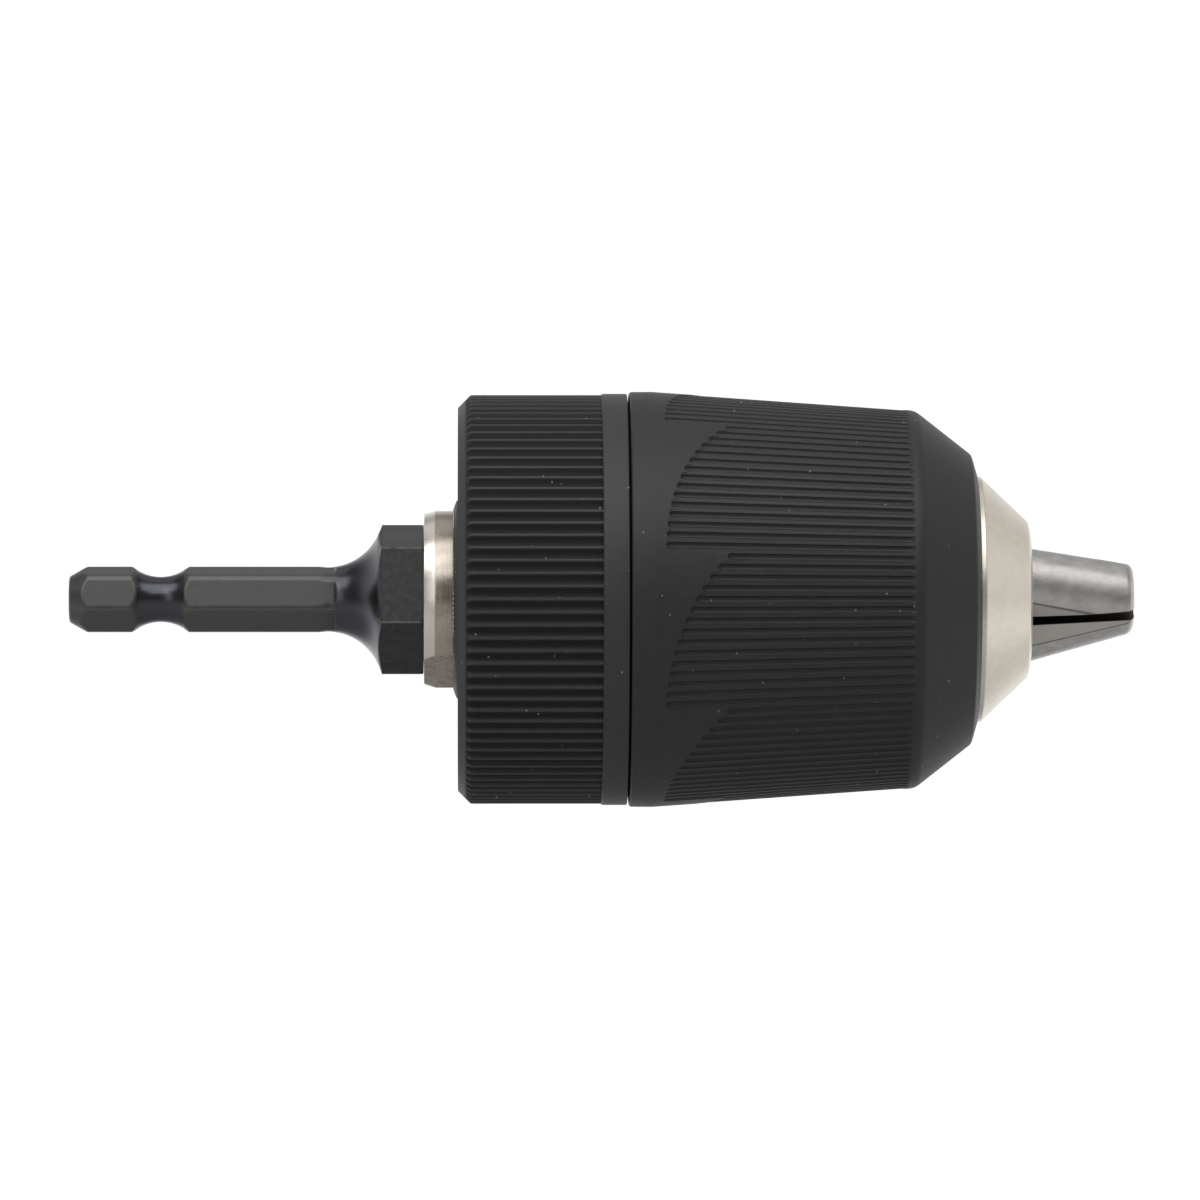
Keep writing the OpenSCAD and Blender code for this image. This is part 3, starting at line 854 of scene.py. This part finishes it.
# %% Jaw geometry shared by the body and the jaws
JAW_TILT = math.radians(15.6)
JAW_CROSS = 109.8
PIN_R = 4.1
BORE_R = PIN_R + 0.05
JAW_ROLLS = {"jaw_1": JAW_ROLL, "jaw_2": JAW_ROLL + 120, "jaw_3": JAW_ROLL + 240}
JAW_BODIES = {"jaw_1": "first_jaw", "jaw_2": "second_jaw", "jaw_3": "third_jaw"}


def pin_matrix(roll):
    """Places a shape made along +X on a jaw's pin: X runs forward along the pin, and -Y is its outer side."""
    turn = Matrix.Rotation(math.radians(-roll), 4, "X")
    tilt = Matrix.Rotation(JAW_TILT, 4, "Z")
    return turn @ Matrix.Translation((JAW_CROSS, 0, 0)) @ tilt


def pin_line(station):
    """Radius of the closed jaws' outermost line at a station."""
    return (JAW_CROSS - station) * math.tan(JAW_TILT) + PIN_R / math.cos(JAW_TILT)


# %% Cut the jaw bores
BORE_RUN = 80
BORE_MIDDLE = -32


def bore_cutter(roll):
    """A cylinder on a jaw's tilted line, longer than its bore."""
    bm = bmesh.new()
    bmesh.ops.create_cone(bm, cap_ends=True, segments=96, radius1=BORE_R, radius2=BORE_R, depth=BORE_RUN)
    bmesh.ops.rotate(bm, verts=bm.verts, matrix=Matrix.Rotation(math.pi / 2, 3, "Y"))
    bmesh.ops.translate(bm, verts=bm.verts, vec=(BORE_MIDDLE, 0, 0))
    bmesh.ops.transform(bm, verts=bm.verts, matrix=pin_matrix(roll))
    bmesh.ops.recalc_face_normals(bm, faces=bm.faces)
    return bm


def cut_bores(body):
    """Cuts the jaw bores out of the body's bmesh with a Boolean modifier for each, and returns the result."""
    uncut = object_from("uncut", body)
    cutters = [object_from(node, bore_cutter(roll)) for node, roll in JAW_ROLLS.items()]
    for cutter in cutters:
        cut = uncut.modifiers.new(cutter.name, "BOOLEAN")
        cut.operation = "DIFFERENCE"
        cut.solver = "MANIFOLD"
        cut.object = cutter
    bpy.context.view_layer.update()
    bm = bmesh.new()
    bm.from_object(uncut, bpy.context.evaluated_depsgraph_get())
    for used in (uncut, *cutters):
        bpy.data.objects.remove(used)
    return bm


# %% Build the chuck body
TAIL_FLAT_ROLL = -62
TAIL_FLATS = 17.2
SEAT_AT = BODY_AT + 3.2
SEAT_R = 9.57
KNURL_TEETH = 120


def chuck_body():
    """A stepped bar: tail, knurled seat, barrel, bearing step, nut's groove, guide, ring's seat and nose."""
    socket_r, throat_r, screw_r = 6.4, 6.8, 3.2
    seat_end, race_at, groove_at, guide_at, guide_end, ring_seat_at, socket_end, throat_at = (
        BODY_AT + run for run in (8.5, 29.5, 33.5, 42.4, 52.5, 56, 16.5, 20.5))
    outside = [(BODY_AT, socket_r, 0.1), (BODY_AT, TAIL_CHAMFER_R, 0.08),
               (TAIL_CHAMFER_END, TAIL_R - 0.03, 0), (TAIL_CHAMFER_END + 0.12, TAIL_R, 0),
               (SEAT_AT - 0.16, TAIL_R, 0), (SEAT_AT - 0.12, SEAT_R - 0.01, 0), (SEAT_AT + 0.4, SEAT_R, 0),
               (seat_end, SEAT_R, 0), (seat_end, 12, 0), (BODY_AT + 12, BARREL_R, 0.4),
               (race_at, BARREL_R, 0.2), (race_at, 15.9, 0), (groove_at, 15.9, 0), (groove_at, 11.6, 0),
               (guide_at, 11.6, 0), (guide_at, 13.6, 0), (guide_end, 13.6, 0), (guide_end, 12.22, 0),
               (ring_seat_at, 12.22, 0), (ring_seat_at, 11.38, 0), (BODY_END - 3.7, 11.38, 0.1),
               (BODY_END, 7.98, 0.1)]
    inside = [(BODY_END, throat_r, 0.1), (throat_at, throat_r, 0.2), (throat_at, screw_r, 0),
              (socket_end, screw_r, 0), (socket_end, socket_r, 0)]
    bm = spun(rounded(outside + inside), 2 * KNURL_TEETH)
    for vertex in bm.verts:
        valley = round(roll_of(vertex.co) / 360 * 2 * KNURL_TEETH) % 2
        if valley and SEAT_AT - 0.14 < vertex.co.x < SEAT_AT + 0.5:
            vertex.co = placed(vertex.co.x, TAIL_R + 0.01, roll_of(vertex.co))
    for side in (TAIL_FLAT_ROLL, TAIL_FLAT_ROLL + 180):
        normal = facing(side)
        bmesh.ops.bisect_plane(bm, geom=everything(bm), dist=1e-5,
                               plane_co=normal * TAIL_FLATS / 2, plane_no=normal)
        for vertex in bm.verts:
            over = vertex.co.dot(normal) - TAIL_FLATS / 2
            if over > 0 and vertex.co.x < SEAT_AT - 0.05:
                vertex.co -= normal * over
    return become_piece("chuck_body_turned", cut_bores(bm), "chuck", "chuck_body", nickel)


chuck_body()

# %% [markdown]
# ## The jaws
#
# A jaw is a ground pin that slides in a tilted bore. Its inner side is cut to a wedge so that the three close
# on a drill, its outer side has the teeth that the nut drives, and its corners are broken. Planes do the
# cutting here: bisect_plane trims the pin, the open cut is capped, and bevel rounds the new edges.

# %% Cutting and rounding helpers for a jaw
TIP_ROUND = 0.8
TIP_RINGS = 6


def trim(bm, point, normal):
    """Cuts away what lies beyond a plane and caps the cut."""
    made = bmesh.ops.bisect_plane(bm, geom=everything(bm), dist=1e-5,
                                  plane_co=point, plane_no=normal, clear_outer=True)
    rim = [edge for edge in made["geom_cut"] if isinstance(edge, bmesh.types.BMEdge)]
    bmesh.ops.holes_fill(bm, edges=rim, sides=0)


def round_tip(bm):
    """Cuts a few rings near the tip and draws them in to an arc."""
    for k in range(TIP_RINGS):
        share = math.sin(math.pi / 2 * k / TIP_RINGS)
        bmesh.ops.bisect_plane(bm, geom=everything(bm), dist=1e-5, plane_no=AXIS,
                               plane_co=AXIS * (TIP_AT - TIP_ROUND * (1 - share)))
    for vertex in bm.verts:
        into = vertex.co.x - (TIP_AT - TIP_ROUND)
        radius = radius_of(vertex.co)
        if into > 0 and radius > 1:
            drop = TIP_ROUND - math.sqrt(max(0, TIP_ROUND**2 - into**2))
            vertex.co = placed(vertex.co.x, radius - drop, roll_of(vertex.co))


# %% A toothed pin
PIN_BACK_AT = 71
PIN_FRONT = 6.0
TEETH = 12
TEETH_AT = 76.3
TOOTH_STEP = 2.0
TOOTH_DEPTH = 0.7
TOOTH_OPEN = 0.72
TOOTH_FLOOR = 0.14
HEEL_R = 13.6
HEEL_END = 77


def toothed_pin(roll):
    """The round pin in its place, with teeth on its outer side and its heel turned down to a smaller radius."""
    back, first_root = (-(JAW_CROSS - at) / math.cos(JAW_TILT) for at in (PIN_BACK_AT, TEETH_AT))
    line = points((back, 0.02), (back, PIN_R - 0.3), (back + 0.3, PIN_R))
    rows = [0, 0, 0]
    for tooth in range(TEETH):
        middle = first_root + tooth * TOOTH_STEP
        line += points((middle - TOOTH_OPEN, PIN_R), (middle - TOOTH_FLOOR, PIN_R),
                       (middle + TOOTH_FLOOR, PIN_R), (middle + TOOTH_OPEN, PIN_R))
        rows += [0, 1, 1, 0]
    line += points((-5, PIN_R), (0, PIN_R), (PIN_FRONT, PIN_R), (PIN_FRONT, 0.02))
    rows += [0, 0, 0, 0]
    bm = spun(line, 128, 0, rows)
    row = bm.verts.layers.int["row"]
    bmesh.ops.transform(bm, verts=bm.verts, matrix=pin_matrix(roll))
    for vertex in bm.verts:
        root = pin_line(vertex.co.x) - TOOTH_DEPTH
        if vertex[row] and radius_of(vertex.co) > root and vertex.co.dot(facing(roll)) > 0:
            vertex.co = placed(vertex.co.x, root, roll_of(vertex.co))
        if vertex.co.x < HEEL_END and radius_of(vertex.co) > HEEL_R:
            vertex.co = placed(vertex.co.x, HEEL_R, roll_of(vertex.co))
    return bm


# %% Build the jaws
GRIP_LAND = 0.75
BROKEN_CORNER = 0.16


def jaw(node):
    """Trims a toothed pin to the grip: tip, two flanks, two ground facets and the flat land inside."""
    roll = JAW_ROLLS[node]
    bm = toothed_pin(roll)
    trim(bm, AXIS * TIP_AT, AXIS)
    round_tip(bm)
    for side in (-1, 1):
        flank = facing(roll + side * 150)
        trim(bm, flank * -FLANK_GAP, flank)
        facet_r, facet_tilt = FACETS[side]
        facet = (facing(roll + side * FACET_ROLL) + AXIS * facet_tilt).normalized()
        trim(bm, placed(NOSE_AT, facet_r, roll + side * FACET_ROLL), facet)
    trim(bm, facing(roll) * GRIP_LAND, -facing(roll))
    bmesh.ops.recalc_face_normals(bm, faces=bm.faces)
    corners = [edge for edge in bm.edges if len(edge.link_faces) == 2 and edge.calc_face_angle() > 0.6
               and all(v.co.x > NOSE_AT - 1 for v in edge.verts)]
    bmesh.ops.bevel(bm, geom=corners, offset=BROKEN_CORNER, offset_type="OFFSET", segments=3, profile=0.5,
                    affect="EDGES", material=-1, clamp_overlap=True)
    return become_piece(node + "_ground", bm, JAW_BODIES[node], node, ground, sharp=16)


for jaw_name in JAW_ROLLS:
    jaw(jaw_name)

# %% [markdown]
# ## Parts that stay as the CAD made them
#
# The nut, its jacket, the bearing and the screw are shut inside. Their CAD shapes are already right, so they
# only get a finish.

# %% Finish the hidden nodes
HIDDEN = {"retaining_screw": zinc, "nut_jacket": zinc, "nut_half_a": nut_steel, "nut_half_b": nut_steel,
          "rear_race": polished, "front_race": polished, "ball_cage": brass, "bearing_balls": polished}
for hidden_name, hidden_finish in HIDDEN.items():
    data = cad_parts[hidden_name].data
    data.materials.clear()
    data.materials.append(hidden_finish.material)
print(len(HIDDEN), "hidden nodes have a finish")

# %% [markdown]
# ## Studio
#
# The chuck hangs over a pale light table. A large soft box is high above the camera and a thin one lower
# down, so a polished cylinder shows two bright lines. The far side is bright and the camera's own side is
# dim, which gives the metal its dark centre and keeps the black plastic black.

# %% Light table
TABLE_MIDDLE = 55
PAPER_NEAR = (0.36, 0.36, 0.36)
PAPER_FAR = (0.52, 0.52, 0.52)
WHITE = (1, 1, 1)


def light_table():
    """A pale floor that glows away from the chuck and is plain paper right under it."""
    bm = bmesh.new()
    bmesh.ops.create_grid(bm, x_segments=2, y_segments=2, size=6)
    bmesh.ops.translate(bm, verts=bm.verts, vec=(0.05, 0, -0.075))
    table = object_from("light_table", bm)
    paper = Finish("light_table_paper", "", Roughness=0.9, Emission_Strength=0.8)
    x, y = paper.axes(paper.place())[:2]
    away = ((x - TABLE_MIDDLE) ** 2.0 * 0.3 + y * y) ** 0.5
    glow = away.above(60, 185) * (0.08 + 0.92 * y.above(-150, 60))
    paper.feed(Base_Color=paper.blend(y.above(-330, -90), PAPER_NEAR, PAPER_FAR),
               Emission_Color=paper.blend(glow, BLACK, WHITE))
    table.data.materials.append(paper.material)


light_table()

# %% Lights
CHUCK_MIDDLE = Vector((0.056, 0, 0))


def panel(name, size, at, watts):
    """A rectangular soft panel that faces the chuck and stays out of the picture."""
    light = bpy.data.lights.new(name, "AREA")
    light.shape = "RECTANGLE"
    light.size, light.size_y = size
    light.energy = watts
    lamp = bpy.data.objects.new(name, light)
    lamp.location = at
    lamp.rotation_euler = (CHUCK_MIDDLE - Vector(at)).to_track_quat("-Z", "Y").to_euler()
    lamp.visible_camera = False
    scene.collection.objects.link(lamp)
    print(f"{name}: {watts} W")


panel("main_softbox", (1.6, 0.7), (0.05, -0.41, 0.84), 6.4)
panel("top_softbox", (1.0, 0.6), (0.05, 0.35, 0.9), 1.0)
panel("strip_softbox", (0.9, 0.1), (0.05, -0.77, 0.56), 0.9)
panel("left_softbox", (0.3, 1.3), (-0.39, -0.86, 0.5), 1.35)

# %% World
DIMMEST = 0.18
BRIGHTEST = 1.02
world = bpy.data.worlds.new("pale_studio")
scene.world = world
sky = Tree(world)
background = sky.nodes["Background"]
backward, upward = sky.axes(sky.node("ShaderNodeTexCoord", output="Generated"))[1:]
lit = upward.above(0.85, 0.2) * backward.above(-0.45, 0.15)
sky.plug(background.inputs["Strength"], DIMMEST + (BRIGHTEST - DIMMEST) * lit)
background.inputs["Color"].default_value = (*WHITE, 1)

# %% [markdown]
# ## Camera
#
# A long lens from almost a metre away, level with the axis, looks square at the side of the chuck.

# %% Camera
DISTANCE = 0.943
VIEW_WIDTH = 0.127
target = Vector((0.0561, 0, -0.00006))
swing = math.radians(-0.8)
lens = bpy.data.cameras.new("side_view")
lens.sensor_width = 36
lens.lens = lens.sensor_width * DISTANCE / VIEW_WIDTH
lens.clip_start = 0.01
camera = bpy.data.objects.new("side_view", lens)
camera.location = target + DISTANCE * Vector((math.sin(swing), -math.cos(swing), 0))
camera.rotation_euler = (math.pi / 2, 0, swing)
scene.collection.objects.link(camera)
scene.camera = camera
scene.view_settings.view_transform = "Standard"
print(f"camera: {lens.lens:.0f} mm lens at {DISTANCE} m")
